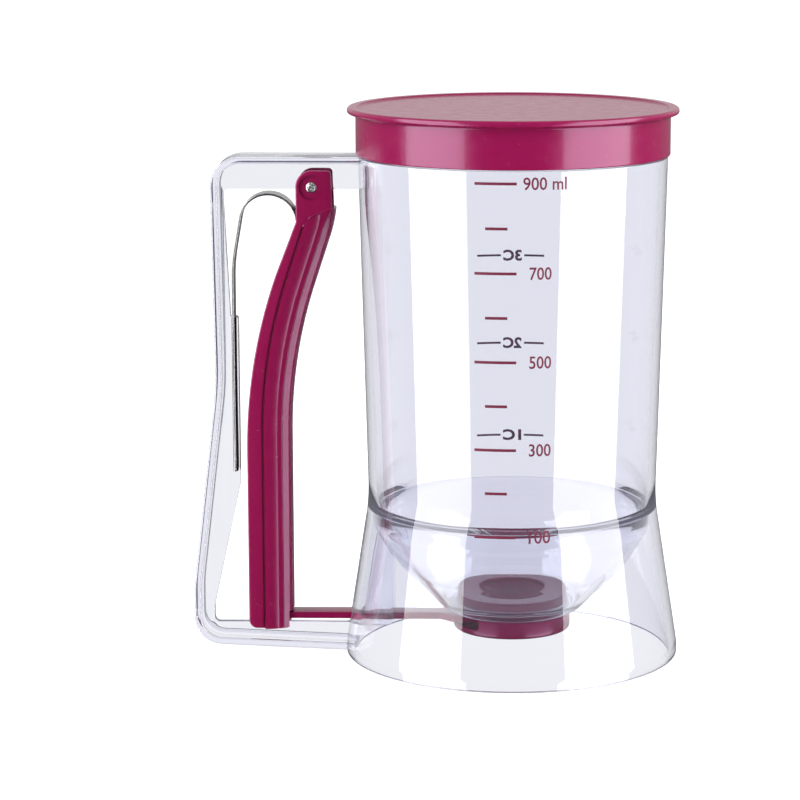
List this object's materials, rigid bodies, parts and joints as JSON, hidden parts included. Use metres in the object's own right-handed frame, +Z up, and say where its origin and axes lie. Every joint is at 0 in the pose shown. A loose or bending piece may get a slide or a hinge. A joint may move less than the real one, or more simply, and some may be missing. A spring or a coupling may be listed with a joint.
{
  "type": "pancake batter dispenser",
  "caption": "Clear handled jug on a flared skirt, with a bowl-shaped hopper, a trigger lever that slides a gate open under it, and a press-on lid.",
  "frame": {"origin": "on the jug's axis, in the plane that the foot stands on", "axes": "+Z up along the jug's axis, -X towards the handle and its trigger, +Y across"},
  "size_m": [0.1697, 0.1164, 0.192],
  "materials": {
    "clear_plastic": "clear, moulded, polished",
    "magenta_plastic": "satin gloss, opaque",
    "pin_steel": "bright steel",
    "spring_steel": "polished spring steel"
  },
  "bodies": {
    "jug": {"jug_wall": "clear_plastic", "hopper": "clear_plastic", "handle_frame": "clear_plastic", "seat_ring": "magenta_plastic", "valve_cup": "magenta_plastic", "return_spring": "spring_steel"},
    "lid": {"lid": "magenta_plastic"},
    "trigger": {"trigger_lever": "magenta_plastic", "pivot_pin": "pin_steel"},
    "gate": {"valve_gate": "magenta_plastic"}
  },
  "joints": [
    {"name": "lid_lift", "type": "slide", "parent": "jug", "child": "lid", "axis": [0, 0, 1], "range_m": [0, 0.08]},
    {"name": "trigger_squeeze", "type": "hinge", "parent": "jug", "child": "trigger", "pos_m": [-0.0692, 0, 0.1644], "axis": [0, 1, 0], "range_deg": [0, 6], "stiffness_Nm_per_rad": 4, "springref_deg": -4.58, "deforming": ["return_spring"]},
    {"name": "gate_slide", "type": "slide", "parent": "jug", "child": "gate", "axis": [-1, 0, 0], "range_m": [0, 0.0161]}
  ],
  "couplings": [
    {"joint": "gate_slide", "follows": "trigger_squeeze", "m_per_rad": 0.153}
  ]
}
